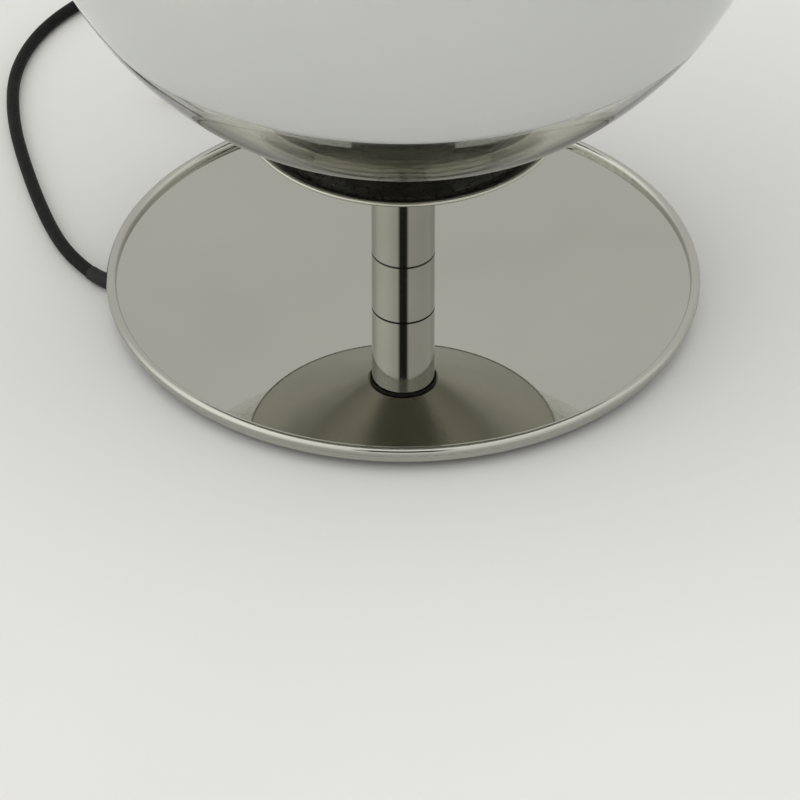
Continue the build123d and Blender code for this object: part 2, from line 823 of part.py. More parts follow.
def clamp_half(low, high):
    """One half of the clamp between two heights, with the cord's groove."""
    with BuildPart() as half:
        with BuildSketch(Plane.XY.offset(low)):
            with Locations((-clamp_place, 0)):
                Rectangle(clamp_length, clamp_width)
        extrude(amount=high - low)
        with BuildSketch(Plane.YZ.offset(-clamp_place - clamp_length)):
            with Locations((0, cord_exit_height)):
                Circle(cord_bore)
        extrude(amount=2 * clamp_length, mode=Mode.SUBTRACT)
        with BuildSketch(Plane.XY.offset(clamp_lift)):
            with Locations(clamp_screw_places):
                Circle(clamp_screw / 2 + slip)
        extrude(amount=clamp_screw_length + play, mode=Mode.SUBTRACT)
        with BuildSketch(Plane.XY.offset(clamp_lift)):
            with Locations(clamp_screw_places):
                Circle(clamp_screw_head / 2 + play)
        extrude(amount=clamp_screw_head_thick, mode=Mode.SUBTRACT)
    return half.part


clamp_lower = clamp_half(clamp_lift, clamp_middle)
clamp_lower.label = "clamp_lower"
export_step(clamp_lower, "parts/clamp_lower.step")

clamp_upper = clamp_half(clamp_middle, floor_under)
clamp_upper.label = "clamp_upper"
export_step(clamp_upper, "parts/clamp_upper.step")

with BuildPart() as clamp_screws:
    with BuildSketch(Plane.XY.offset(clamp_lift)):
        with Locations(clamp_screw_places):
            Circle(clamp_screw_head / 2)
    extrude(amount=clamp_screw_head_thick)
    with BuildSketch(Plane.XY.offset(clamp_lift)):
        with Locations(clamp_screw_places):
            Circle(clamp_screw / 2)
    extrude(amount=clamp_screw_length)

clamp_screws.part.label = "clamp_screws"
export_step(clamp_screws.part, "parts/clamp_screws.step")

# the two insulated leads, from the end of the jacket up the rod to the terminals
lead_top = insert_low - terminal_height / 2

for name, side in (("lead_brown", -1), ("lead_blue", 1)):
    lead_y = side * lead_spread / 2
    with BuildPart() as lead:
        with BuildLine() as lead_path:
            FilletPolyline(
                (-cord_stop, lead_y, cord_exit_height),
                (-lead_drop_from, lead_y, cord_exit_height),
                (-lead_drop_to, lead_y, lead_low),
                (0, lead_y, lead_low),
                (0, lead_y, lead_top),
                (0, side * (terminal_spread - terminal_width) / 2, lead_top),
                radius=[lead_ease, lead_ease, lead_bend, lead_turn],
            )
        with BuildSketch(Plane(origin=lead_path.line @ 0, z_dir=lead_path.line % 0)):
            Circle(lead_diameter / 2)
        sweep()

    lead.part.label = name
    export_step(lead.part, f"parts/{name}.step")

# ---------------------------------------------------------------- free cord
sleeve_end = bend_point(cord_bend_turn)
run_start = sleeve_end + bend_plane(cord_bend_turn).z_dir * run_lead
coil_start = Vector(coil_x - cord_diameter, coil_y + coil_outer, coil_lift)
coil_end = Vector(coil_x - cord_diameter, coil_y - coil_outer, coil_lift + coil_pitch)
switch_in = Vector(switch_x - switch_length / 2, switch_y, switch_split)
switch_out = Vector(switch_x + switch_length / 2, switch_y, switch_split)
stretches = {
    "cord_free": [tuple(sleeve_end), tuple(run_start), *run_points, tuple(switch_in)],
    "cord_tail": [tuple(coil_end), *tail_points],
}
cord_total = 0.0

for name, route in stretches.items():
    radii = corner_radii(route)
    print(name, "radii", [round(radius, 1) for radius in radii])
    with BuildPart() as stretch:
        with BuildLine() as stretch_path:
            FilletPolyline(*route, radius=radii)
        with BuildSketch(Plane(origin=stretch_path.line @ 0, z_dir=stretch_path.line % 0)):
            Circle(cord_radius)
        sweep()

    stretch.part.label = name
    export_step(stretch.part, f"parts/{name}.step")
    report_tube(name, stretch.part, stretch_path.wire(), pi * cord_radius ** 2)
    cord_total += stretch_path.wire().length

with BuildPart() as cord_link:
    with BuildSketch(Plane(origin=switch_out, z_dir=(1, 0, 0))):
        Circle(cord_radius)
    extrude(amount=coil_start.X - switch_out.X)

cord_link.part.label = "cord_link"
export_step(cord_link.part, "parts/cord_link.step")
cord_total += switch_length + coil_start.X - switch_out.X

# coil: half turns that step in by half a pitch, cross to the upper layer and step out again
reverse = coil_half_turns // 2
coil_ends = []
for step in range(coil_half_turns + 1):
    away = min(step, coil_half_turns - step)
    reach = coil_core if away == reverse else coil_outer - away * coil_pitch / 2
    layer = 0 if step <= reverse else coil_pitch
    side = 1 if step % 2 == 0 else -1
    coil_ends.append(Vector(coil_x, coil_y + side * reach, coil_lift + layer))

with BuildPart() as cord_coil:
    with BuildLine() as coil_path:
        Line(coil_start, coil_ends[0])
        for step, (start, end) in enumerate(zip(coil_ends, coil_ends[1:])):
            heading = 1 if step % 2 == 0 else -1
            middle = (start + end) / 2 + Vector(heading * (end - start).length / 2, 0, 0)
            ThreePointArc(start, middle, end)
        Line(coil_ends[-1], coil_end)
    with BuildSketch(Plane(origin=coil_start, z_dir=(1, 0, 0))):
        Circle(cord_radius)
    sweep()

cord_coil.part.label = "cord_coil"
export_step(cord_coil.part, "parts/cord_coil.step")
coil_wire = coil_path.wire()
report_tube("cord_coil", cord_coil.part, coil_wire, pi * cord_radius ** 2)
cord_total += coil_wire.length
print(f"cord from the sleeve to the plug: {cord_total:.0f}")

# least gap of the coil to itself, measured between points more than a quarter turn apart
samples = 1500
spots = [coil_wire @ (index / samples) for index in range(samples + 1)]
apart = int(samples * (pi * coil_core / 2) / coil_wire.length)
least = min(
    (spots[low] - spots[high]).length
    for low in range(0, samples + 1, 2)
    for high in range(low + apart, samples + 1)
)
print(f"least gap of the coil to itself: {least - cord_diameter:.2f}")

# flat tie round the turns, on the far side of the coil
tie_in = coil_core - cord_radius - 2 * tie_play
tie_out = coil_outer + cord_radius + tie_play
tie_low = coil_lift - cord_radius - tie_play
tie_high = coil_lift + coil_pitch + cord_radius + tie_play

with BuildPart() as coil_tie:
    with BuildSketch(Plane.XZ.offset(-coil_y - tie_width / 2)):
        with Locations((coil_x + (tie_in + tie_out) / 2, (tie_low + tie_high) / 2)):
            Rectangle(tie_out - tie_in + 2 * tie_thick, tie_high - tie_low + 2 * tie_thick)
            Rectangle(tie_out - tie_in, tie_high - tie_low, mode=Mode.SUBTRACT)
    extrude(amount=tie_width)

coil_tie.part.label = "coil_tie"
export_step(coil_tie.part, "parts/coil_tie.step")

# ---------------------------------------------------------------- switch
switch_top = switch_lift + switch_height
switch_screw_places = [(switch_x + side * switch_screw_spread / 2, switch_y) for side in (-1, 1)]


def switch_half(low, high):
    """Block between two heights of the switch, with the bores for its screws."""
    with BuildPart() as half:
        with BuildSketch(Plane.XY.offset(low)):
            with Locations((switch_x, switch_y)):
                RectangleRounded(switch_length, switch_width, switch_corner)
        extrude(amount=high - low)
        with BuildSketch(Plane.XY.offset(switch_lift)):
            with Locations(switch_screw_places):
                Circle(switch_screw / 2 + slip)
        extrude(amount=switch_screw_length + 2 * play, mode=Mode.SUBTRACT)
        with BuildSketch(Plane.XY.offset(switch_lift)):
            with Locations(switch_screw_places):
                Circle(switch_screw_head / 2 + slip)
        extrude(amount=switch_screw_head_thick + play, mode=Mode.SUBTRACT)
    return half.part


with BuildPart() as switch_lower:
    add(switch_half(switch_lift, switch_split))
    chamfer(switch_lower.faces().sort_by(Axis.Z)[0].outer_wire().edges(), switch_edge)
    with BuildSketch(Plane.XY.offset(switch_split - contact_thick)):
        with Locations((switch_x, switch_y)):
            Rectangle(contact_length + 2 * slip, contact_width + 2 * slip)
    extrude(amount=contact_thick, mode=Mode.SUBTRACT)

switch_lower.part.label = "switch_lower"
export_step(switch_lower.part, "parts/switch_lower.step")

with BuildPart() as switch_upper:
    add(switch_half(switch_split, switch_top))
    fillet(switch_upper.faces().sort_by(Axis.Z)[-1].outer_wire().edges(), 2 * switch_edge)
    with BuildSketch(Plane.XY.offset(switch_split)):
        with Locations((switch_x, switch_y)):
            Rectangle(rocker_length + 2 * rocker_play, rocker_width + 2 * rocker_side_play)
    extrude(amount=switch_height, mode=Mode.SUBTRACT)
    with BuildSketch(Plane.XZ.offset(-switch_y - rocker_axle_length / 2 - slip)):
        with Locations((switch_x, rocker_pivot_height)):
            Circle(rocker_axle / 2 + slip / 2)
    extrude(amount=rocker_axle_length + 2 * slip, mode=Mode.SUBTRACT)

switch_upper.part.label = "switch_upper"
export_step(switch_upper.part, "parts/switch_upper.step")

with BuildPart() as switch_contact:
    with BuildSketch(Plane.XY.offset(switch_split - contact_thick)):
        with Locations((switch_x, switch_y)):
            Rectangle(contact_length, contact_width)
    extrude(amount=contact_thick)

switch_contact.part.label = "switch_contact"
export_step(switch_contact.part, "parts/switch_contact.step")

with BuildPart() as switch_screws:
    with BuildSketch(Plane.XY.offset(switch_lift + play)):
        with Locations(switch_screw_places):
            Circle(switch_screw_head / 2)
    extrude(amount=switch_screw_head_thick)
    with BuildSketch(Plane.XY.offset(switch_lift + play)):
        with Locations(switch_screw_places):
            Circle(switch_screw / 2)
    extrude(amount=switch_screw_length)

switch_screws.part.label = "switch_screws"
export_step(switch_screws.part, "parts/switch_screws.step")

with BuildPart() as switch_rocker:
    with BuildSketch(Plane.XZ.offset(-switch_y - rocker_width / 2)):
        with Locations((switch_x, rocker_pivot_height)):
            Polygon(
                (-rocker_length / 2, rocker_height - rocker_depth),
                (rocker_length / 2, rocker_height - rocker_depth),
                (rocker_length / 2, -rocker_cheek),
                (rocker_foot / 2, -rocker_depth),
                (-rocker_foot / 2, -rocker_depth),
                (-rocker_length / 2, -rocker_cheek),
                rotation=rocker_tilt,
                align=None,
            )
    extrude(amount=rocker_width)
    fillet(switch_rocker.faces().sort_by(Axis.Z)[-1].edges(), rocker_cheek)
    with BuildSketch(Plane.XZ.offset(-switch_y - rocker_axle_length / 2)):
        with Locations((switch_x, rocker_pivot_height)):
            Circle(rocker_axle / 2)
    extrude(amount=rocker_axle_length)

switch_rocker.part.label = "switch_rocker"
export_step(switch_rocker.part, "parts/switch_rocker.step")

# ---------------------------------------------------------------- plug
plug_end_x, plug_y, plug_axis = tail_points[-1]
plug_neck_x = plug_end_x - plug_snout_length
plug_face_x = plug_neck_x - plug_shoulder - plug_body_length
pin_places = [(side * pin_spread / 2 + plug_y, plug_axis) for side in (-1, 1)]

with BuildPart() as plug_body:
    with BuildSketch(Plane.XY.offset(plug_lift)):
        with Locations((plug_face_x, plug_y)):
            Polygon(
                (0, -plug_width / 2),
                (plug_body_length, -plug_width / 2),
                (plug_body_length + plug_shoulder, -plug_waist / 2),
                (plug_body_length + plug_shoulder, plug_waist / 2),
                (plug_body_length, plug_width / 2),
                (0, plug_width / 2),
                align=None,
            )
    extrude(amount=plug_height)
    fillet(plug_body.edges().filter_by(Axis.Z), plug_round)
    fillet(plug_body.faces().sort_by(Axis.Z)[-1].edges(), plug_edge)
    fillet(plug_body.faces().sort_by(Axis.Z)[0].edges(), plug_edge)
    with BuildSketch(Plane.YZ.offset(plug_neck_x)):
        with Locations((plug_y, plug_axis)):
            Circle(plug_snout / 2)
    with BuildSketch(Plane.YZ.offset(plug_end_x)):
        with Locations((plug_y, plug_axis)):
            Circle(plug_snout_tip / 2)
    loft()
    with BuildSketch(Plane.YZ.offset(plug_face_x)):
        with Locations(pin_places):
            Circle(pin_root / 2)
    extrude(amount=pin_seat, mode=Mode.SUBTRACT)

plug_body.part.label = "plug_body"
export_step(plug_body.part, "parts/plug_body.step")

for number, place in enumerate(pin_places, start=1):
    with BuildPart() as pin:
        with BuildSketch(Plane.YZ.offset(plug_face_x - pin_length)):
            with Locations(place):
                Circle(pin_diameter / 2)
        extrude(amount=pin_length)
        fillet(pin.faces().sort_by(Axis.X)[0].edges(), pin_round)
        with BuildSketch(Plane.YZ.offset(plug_face_x)):
            with Locations(place):
                Circle(pin_root / 2)
        extrude(amount=pin_seat)

    pin.part.label = f"plug_pin_{number}"
    export_step(pin.part, f"parts/plug_pin_{number}.step")
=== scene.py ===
from math import asin, cos, pi, radians, sin

import bpy
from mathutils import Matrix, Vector


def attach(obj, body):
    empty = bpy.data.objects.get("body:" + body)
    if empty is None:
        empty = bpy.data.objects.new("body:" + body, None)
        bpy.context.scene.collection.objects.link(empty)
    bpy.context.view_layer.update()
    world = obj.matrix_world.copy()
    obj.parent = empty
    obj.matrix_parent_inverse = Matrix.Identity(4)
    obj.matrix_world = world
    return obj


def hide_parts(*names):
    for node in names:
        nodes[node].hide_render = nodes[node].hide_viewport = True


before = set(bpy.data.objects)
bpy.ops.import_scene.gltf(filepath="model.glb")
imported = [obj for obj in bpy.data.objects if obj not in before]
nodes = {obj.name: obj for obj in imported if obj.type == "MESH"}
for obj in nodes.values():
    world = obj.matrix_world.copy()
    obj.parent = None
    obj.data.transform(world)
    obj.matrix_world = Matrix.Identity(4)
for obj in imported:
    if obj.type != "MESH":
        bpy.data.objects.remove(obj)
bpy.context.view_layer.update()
mm = 0.001

# ---------------------------------------------------------------- sizes
# repeated from the CAD part
globe_radius = 175 * mm
globe_middle = 277.5 * mm
clear_wall = 4.0 * mm
clear_drop = 1.5 * mm
mouth_bore = 38 * mm
opal_edge = 190.5 * mm
opal_wall = 1.2 * mm
seam_height = 26.0 * mm
mouth_angle = 15.04         # from the globe's axis to the outer edge of its mouth, in degrees
opal_sink = 0.12 * mm       # opal layer inside the clear wall
seam_shade_half = 0.35 * mm       # half of the band of painted shade in the seam
floor_half = 3.0            # metres
cord_diameter = 6.2 * mm

# the camera, fitted to the photograph: where it stands, how it looks down and its lens
camera_place = Vector((0.0, -2594.2, 1873.7)) * mm
camera_pitch = 36.73
camera_turn = 0.034
camera_lens = 304.8
camera_sensor = 36.0


# ---------------------------------------------------------------- node helpers
def shader(name):
    """A new material and the parts of its node tree that every material uses."""
    made = bpy.data.materials.new(name)
    made.use_nodes = True
    tree = made.node_tree
    return made, tree, tree.nodes["Principled BSDF"]


def place(tree, *names):
    """One node of each type, in the order asked."""
    return [tree.nodes.new("ShaderNode" + name) for name in names]


def noise(tree, scale, detail=4.0, stretch=(1, 1, 1), source="Object"):
    """A noise texture in the object's own space, in metres."""
    coords, mapping, texture = place(tree, "TexCoord", "Mapping", "TexNoise")
    mapping.inputs["Scale"].default_value = stretch
    texture.inputs["Scale"].default_value = scale
    texture.inputs["Detail"].default_value = detail
    tree.links.new(coords.outputs[source], mapping.inputs["Vector"])
    tree.links.new(mapping.outputs["Vector"], texture.inputs["Vector"])
    return texture.outputs["Fac"]


def ramp(tree, factor, stops):
    """A colour ramp over a factor: stops are pairs of a place and a grey or a colour."""
    (node,) = place(tree, "ValToRGB")
    while len(node.color_ramp.elements) < len(stops):
        node.color_ramp.elements.new(0.5)
    for element, (spot, value) in zip(node.color_ramp.elements, stops):
        colour = value if isinstance(value, tuple) else (value, value, value)
        element.position = spot
        element.color = (*colour, 1)
    tree.links.new(factor, node.inputs["Fac"])
    return node.outputs["Color"]


def bump(tree, factor, surface, height, strength=1.0):
    """Relief of a real height from a factor."""
    (node,) = place(tree, "Bump")
    node.inputs["Strength"].default_value = strength
    node.inputs["Distance"].default_value = height
    tree.links.new(factor, node.inputs["Height"])
    tree.links.new(node.outputs["Normal"], surface.inputs["Normal"])


def sums(tree, operation, first, second, clamp=False):
    """One step of arithmetic; first and second are sockets or plain numbers."""
    (node,) = place(tree, "Math")
    node.operation = operation
    node.use_clamp = clamp
    for socket, value in zip(node.inputs, (first, second)):
        if isinstance(value, (int, float)):
            socket.default_value = value
        else:
            tree.links.new(value, socket)
    return node.outputs[0]


# ---------------------------------------------------------------- materials
def polished_chrome():
    """Mirror chrome, with a trace of haze and hair-fine relief."""
    made, tree, surface = shader("polished_chrome")
    surface.inputs["Metallic"].default_value = 1.0
    tint = ramp(tree, noise(tree, 9.0, 3.0), [(0.3, (0.435, 0.433, 0.395)), (0.7, (0.47, 0.468, 0.428))])
    tree.links.new(tint, surface.inputs["Base Color"])
    haze = ramp(tree, noise(tree, 14.0, 6.0, (1, 2.2, 1)), [(0.35, 0.0), (0.75, 0.006)])
    tree.links.new(haze, surface.inputs["Roughness"])
    bump(tree, noise(tree, 900.0, 2.0, (1, 0.05, 1)), surface, 0.00000005)
    return made


def turned_chrome():
    """Chrome on turned parts: the same metal with fine lines round it, and painted shade: a near-black band
    at the seam.
    """
    made, tree, surface = shader("turned_chrome")
    surface.inputs["Metallic"].default_value = 1.0
    tint = ramp(tree, noise(tree, 30.0, 3.0), [(0.3, (0.40, 0.40, 0.375)), (0.7, (0.44, 0.44, 0.413))])
    spot, split = place(tree, "NewGeometry", "SeparateXYZ")
    tree.links.new(spot.outputs["Position"], split.inputs["Vector"])
    # painted shade: the colour goes near-black in a thin band at the seam's height, as a shadow in the seam
    away = sums(tree, "ABSOLUTE", sums(tree, "SUBTRACT", split.outputs["Z"], seam_height), 0.0)
    outside_seam_shade = sums(tree, "MULTIPLY", sums(tree, "SUBTRACT", away, seam_shade_half), 2500.0, True)
    (mixed,) = place(tree, "MixRGB")
    mixed.inputs["Color1"].default_value = (0.02, 0.02, 0.018, 1)
    tree.links.new(outside_seam_shade, mixed.inputs["Fac"])
    tree.links.new(tint, mixed.inputs["Color2"])
    tree.links.new(mixed.outputs["Color"], surface.inputs["Base Color"])
    haze = ramp(tree, noise(tree, 40.0, 4.0, (0.2, 0.2, 20)), [(0.3, 0.04), (0.7, 0.09)])
    tree.links.new(haze, surface.inputs["Roughness"])
    bump(tree, noise(tree, 60.0, 2.0, (0.05, 0.05, 60)), surface, 0.000001)
    return made


def cup_chrome():
    """The cup's chrome: set hazier and warmer than the rest, so that the cone shows no hard facets."""
    made, tree, surface = shader("cup_chrome")
    surface.inputs["Metallic"].default_value = 1.0
    tint = ramp(tree, noise(tree, 14.0, 3.0), [(0.3, (0.47, 0.46, 0.40)), (0.7, (0.52, 0.51, 0.45))])
    tree.links.new(tint, surface.inputs["Base Color"])
    haze = ramp(tree, noise(tree, 8.0, 1.0), [(0.3, 0.26), (0.7, 0.30)])
    tree.links.new(haze, surface.inputs["Roughness"])
    bump(tree, noise(tree, 60.0, 2.0, (0.05, 0.05, 60)), surface, 0.00000005)
    return made


def plain_metal(name, dark, light, rough, grain, depth):
    """Zinc-plated, cast or rolled metal, with its grain and colour variation."""
    made, tree, surface = shader(name)
    surface.inputs["Metallic"].default_value = 1.0
    tint = ramp(tree, noise(tree, grain / 6), [(0.3, dark), (0.7, light)])
    tree.links.new(tint, surface.inputs["Base Color"])
    haze = ramp(tree, noise(tree, grain), [(0.3, rough * 0.8), (0.7, rough * 1.25)])
    tree.links.new(haze, surface.inputs["Roughness"])
    bump(tree, noise(tree, grain * 3), surface, depth)
    return made


def moulded(name, dark, light, rough, grain, depth, coat=0.0, shine=0.5):
    """Moulded plastic, rubber or enamel, with its fine grain."""
    made, tree, surface = shader(name)
    tint = ramp(tree, noise(tree, grain / 8), [(0.3, dark), (0.7, light)])
    tree.links.new(tint, surface.inputs["Base Color"])
    haze = ramp(tree, noise(tree, grain / 2), [(0.3, rough * 0.85), (0.7, rough * 1.2)])
    tree.links.new(haze, surface.inputs["Roughness"])
    surface.inputs["Coat Weight"].default_value = coat
    surface.inputs["Specular IOR Level"].default_value = shine
    bump(tree, noise(tree, grain), surface, depth)
    return made


def felt():
    """Pressed felt: short fibres that lie every way."""
    made, tree, surface = shader("felt")
    fibres = noise(tree, 1500.0, 8.0, (1, 0.35, 1))
    tint = ramp(tree, fibres, [(0.35, (0.012, 0.012, 0.012)), (0.7, (0.045, 0.045, 0.043))])
    tree.links.new(tint, surface.inputs["Base Color"])
    surface.inputs["Roughness"].default_value = 0.95
    surface.inputs["Sheen Weight"].default_value = 0.4
    bump(tree, fibres, surface, 0.0004)
    return made


def clear_glass():
    """Clear glass, faintly green, with slow waves in its surface."""
    made, tree, surface = shader("clear_glass")
    surface.inputs["Transmission Weight"].default_value = 1.0
    surface.inputs["IOR"].default_value = 1.5
    tint = ramp(tree, noise(tree, 6.0, 2.0), [(0.3, (0.93, 0.95, 0.91)), (0.7, (0.96, 0.97, 0.94))])
    # painted shade: the foot of the globe, below the white, gets a slightly darker, warmer tint
    spot, split = place(tree, "TexCoord", "SeparateXYZ")
    tree.links.new(spot.outputs["Object"], split.inputs["Vector"])
    foot_painted_shade = sums(tree, "MULTIPLY", sums(tree, "SUBTRACT", opal_edge - 2 * mm, split.outputs["Z"]), 200.0, True)
    (mixed,) = place(tree, "MixRGB")
    tree.links.new(foot_painted_shade, mixed.inputs["Fac"])
    tree.links.new(tint, mixed.inputs["Color1"])
    mixed.inputs["Color2"].default_value = (0.94, 0.94, 0.885, 1)
    tree.links.new(mixed.outputs["Color"], surface.inputs["Base Color"])
    haze = ramp(tree, noise(tree, 10.0, 3.0), [(0.3, 0.0), (0.7, 0.01)])
    tree.links.new(haze, surface.inputs["Roughness"])
    bump(tree, noise(tree, 12.0, 1.0), surface, 0.0001)
    return made


def opal_glass():
    """White opal layer: milky, with soft clouds in its depth."""
    made, tree, surface = shader("opal_glass")
    cloud = noise(tree, 7.0, 3.0, (1, 1, 0.6))
    tint = ramp(tree, cloud, [(0.3, (0.945, 0.955, 0.945)), (0.7, (0.96, 0.97, 0.96))])
    tree.links.new(tint, surface.inputs["Base Color"])
    haze = ramp(tree, cloud, [(0.3, 0.25), (0.7, 0.4)])
    tree.links.new(haze, surface.inputs["Roughness"])
    surface.inputs["Specular IOR Level"].default_value = 0.1
    surface.inputs["Subsurface Weight"].default_value = 0.1
    surface.inputs["Subsurface Radius"].default_value = (0.004, 0.004, 0.0035)
    surface.inputs["Subsurface Scale"].default_value = 1.0
    return made


def frosted_glass():
    """The bulb's frosted glass."""
    made, tree, surface = shader("frosted_glass")
    surface.inputs["Transmission Weight"].default_value = 0.6
    surface.inputs["IOR"].default_value = 1.45
    tint = ramp(tree, noise(tree, 60.0), [(0.3, (0.86, 0.86, 0.84)), (0.7, (0.92, 0.92, 0.9))])
    tree.links.new(tint, surface.inputs["Base Color"])
    haze = ramp(tree, noise(tree, 300.0), [(0.3, 0.35), (0.7, 0.5)])
    tree.links.new(haze, surface.inputs["Roughness"])
    bump(tree, noise(tree, 2500.0), surface, 0.00001)
    return made


chrome = polished_chrome()
turned = turned_chrome()
spun = cup_chrome()
glass = clear_glass()
opal = opal_glass()
frosted = frosted_glass()
zinc = plain_metal("zinc_plate", (0.42, 0.42, 0.41), (0.58, 0.58, 0.56), 0.32, 500.0, 0.000004)
iron = plain_metal("cast_iron", (0.07, 0.07, 0.07), (0.13, 0.125, 0.12), 0.6, 350.0, 0.00006)
brass = plain_metal("brass", (0.55, 0.40, 0.17), (0.70, 0.53, 0.25), 0.25, 400.0, 0.000004)
aluminium = plain_metal("aluminium", (0.62, 0.62, 0.62), (0.74, 0.74, 0.74), 0.28, 450.0, 0.000004)
rubber = moulded(
    "black_rubber", (0.008, 0.008, 0.008), (0.02, 0.02, 0.019),
    0.55, 1800.0, 0.00001, shine=0.25,
)
jacket = moulded(
    "cord_jacket", (0.004, 0.004, 0.004), (0.009, 0.009, 0.008),
    0.55, 1200.0, 0.000012, shine=0.12,
)
plastic = moulded(
    "black_plastic", (0.010, 0.010, 0.010), (0.022, 0.022, 0.021),
    0.38, 1400.0, 0.000015, shine=0.3,
)
enamel = moulded("black_enamel", (0.020, 0.020, 0.015), (0.038, 0.037, 0.029), 0.28, 700.0, 0.000004, 0.3)
ceramic = moulded("white_ceramic", (0.70, 0.69, 0.65), (0.80, 0.79, 0.75), 0.18, 300.0, 0.000006, 0.5)
brown = moulded("brown_insulation", (0.10, 0.035, 0.015), (0.16, 0.06, 0.025), 0.4, 1500.0, 0.000008)
blue = moulded("blue_insulation", (0.01, 0.05, 0.22), (0.02, 0.08, 0.30), 0.4, 1500.0, 0.000008)
black_glass = moulded(
    "black_glass", (0.008, 0.008, 0.010), (0.016, 0.016, 0.018),
    0.12, 500.0, 0.000003, 0.3,
)
phosphor = moulded("phosphor", (0.75, 0.50, 0.08), (0.90, 0.66, 0.16), 0.5, 2500.0, 0.00003)
felt_cloth = felt()


# ---------------------------------------------------------------- shape helpers
def mesh_piece(name, corners, faces, material, body, smooth=True):
    """A mesh piece that rides on a body."""
    mesh = bpy.data.meshes.new(name)
    mesh.from_pydata([tuple(corner) for corner in corners], [], faces)
    mesh.update()
    piece = bpy.data.objects.new(name, mesh)
    bpy.context.scene.collection.objects.link(piece)
    mesh.materials.append(material)
    if smooth:
        mesh.polygons.foreach_set("use_smooth", [True] * len(mesh.polygons))
    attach(piece, body)
    return piece


def lathe(name, outline, material, body, steps=256, closed=True):
    """A turned piece round the lamp's axis: outline is pairs of a radius and a height."""
    corners = []
    for radius, height in outline:
        for step in range(steps):
            angle = 2 * pi * step / steps
            corners.append((radius * cos(angle), radius * sin(angle), height))
    rows = len(outline)
    faces = []
    for row in range(rows if closed else rows - 1):
        low = row * steps
        high = (row + 1) % rows * steps
        for step in range(steps):
            after = (step + 1) % steps
            faces.append((low + step, low + after, high + after, high + step))
    return mesh_piece(name, corners, faces, material, body)


def arc(middle, radius, start, end, steps):
    """Points of an arc on the plane of a radius and a height, between two angles in degrees."""
    points = []
    for step in range(steps + 1):
        angle = radians(start + (end - start) * step / steps)
        points.append((middle[0] + radius * cos(angle), middle[1] + radius * sin(angle)))
    return points


# ---------------------------------------------------------------- camera
def add_camera():
    data = bpy.data.cameras.new("camera")
    data.lens = camera_lens
    data.sensor_width = camera_sensor
    data.clip_end = 50
    camera = bpy.data.objects.new("camera", data)
    camera.location = camera_place
    camera.rotation_euler = (radians(90 - camera_pitch), 0, radians(camera_turn))
    bpy.context.scene.collection.objects.link(camera)
    bpy.context.scene.camera = camera


# ---------------------------------------------------------------- cord
# the route of the part's tube: from the sleeve to the switch, through it, round the coil and to the plug
sleeve_tip = (-147.513, 11.431, 4.4)
switch_in = (-116, 258.4, 4.0)
switch_out = (-58, 258.4, 4.0)
run_points = [
    sleeve_tip,
    (-157.8, 23.69, 4.4),
    (-169.8, 53.0, 3.2),
    (-182.0, 97.0, 3.2),
    (-191.4, 143.0, 3.2),
    (-192.4, 186.0, 3.2),
    (-178.6, 226.0, 3.2),
    (-149.0, 258.4, 4.0),
    switch_in,
]
tail_points = [
    (-6.0, 169.6, 10.8),
    (-30.0, 172.6, 6.95),
    (-50.0, 172.6, 6.95),
]
coil_middle = (20.0, 214.0)
coil_lift = 4.0
coil_outer = 44.4
coil_core = 22.4
coil_pitch = 6.8
coil_half_turns = 13
coil_points_per_half = 8


def coil_points():
    """Points round the coil: in on the lower layer, across, and out again on the upper layer."""
    reverse = coil_half_turns // 2
    ends = []
    for step in range(coil_half_turns + 1):
        away = min(step, coil_half_turns - step)
        reach = coil_core if away == reverse else coil_outer - away * coil_pitch / 2
        layer = coil_lift if step <= reverse else coil_lift + coil_pitch
        ends.append((reach if step % 2 == 0 else -reach, layer))
    points = [(coil_middle[0] - cord_diameter / mm, coil_middle[1] + coil_outer, coil_lift)]
    for step, (start, end) in enumerate(zip(ends, ends[1:])):
        side = 1 if step % 2 == 0 else -1
        radius = abs(start[0] - end[0]) / 2
        middle = (start[0] + end[0]) / 2
        # control points of a spline stand outside the curve that it makes
        stand_off = radius / cos(pi / coil_points_per_half / 2)
        for part in range(coil_points_per_half):
            share = (part + 0.5) / coil_points_per_half
            angle = pi * share
            points.append((
                coil_middle[0] + side * stand_off * sin(angle),
                coil_middle[1] + middle + side * stand_off * cos(angle),
                start[1] + (end[1] - start[1]) * (1 - cos(angle)) / 2,
            ))
    return points


def spline_piece(name, points, diameter, material, body):
    """A smooth round cord whose control points are given in millimetres."""
    curve = bpy.data.curves.new(name, "CURVE")
    curve.dimensions = "3D"
    curve.bevel_depth = diameter / 2
    curve.bevel_resolution = 8
    curve.use_fill_caps = True
    spline = curve.splines.new("NURBS")
    spline.points.add(len(points) - 1)
    for spot, point in zip(spline.points, points):
        spot.co = (*(Vector(point) * mm), 1)
    spline.order_u = 3
    spline.use_endpoint_u = True
    spline.resolution_u = 12
    piece = bpy.data.objects.new(name, curve)
    curve.materials.append(material)
    bpy.context.scene.collection.objects.link(piece)
    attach(piece, body)
    return piece


def add_cord():
    inside = [switch_out] + coil_points() + tail_points
    route = run_points + inside
    piece = spline_piece("flex", route, cord_diameter, jacket, "stand")
    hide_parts("cord_free", "cord_link", "cord_coil", "cord_tail")


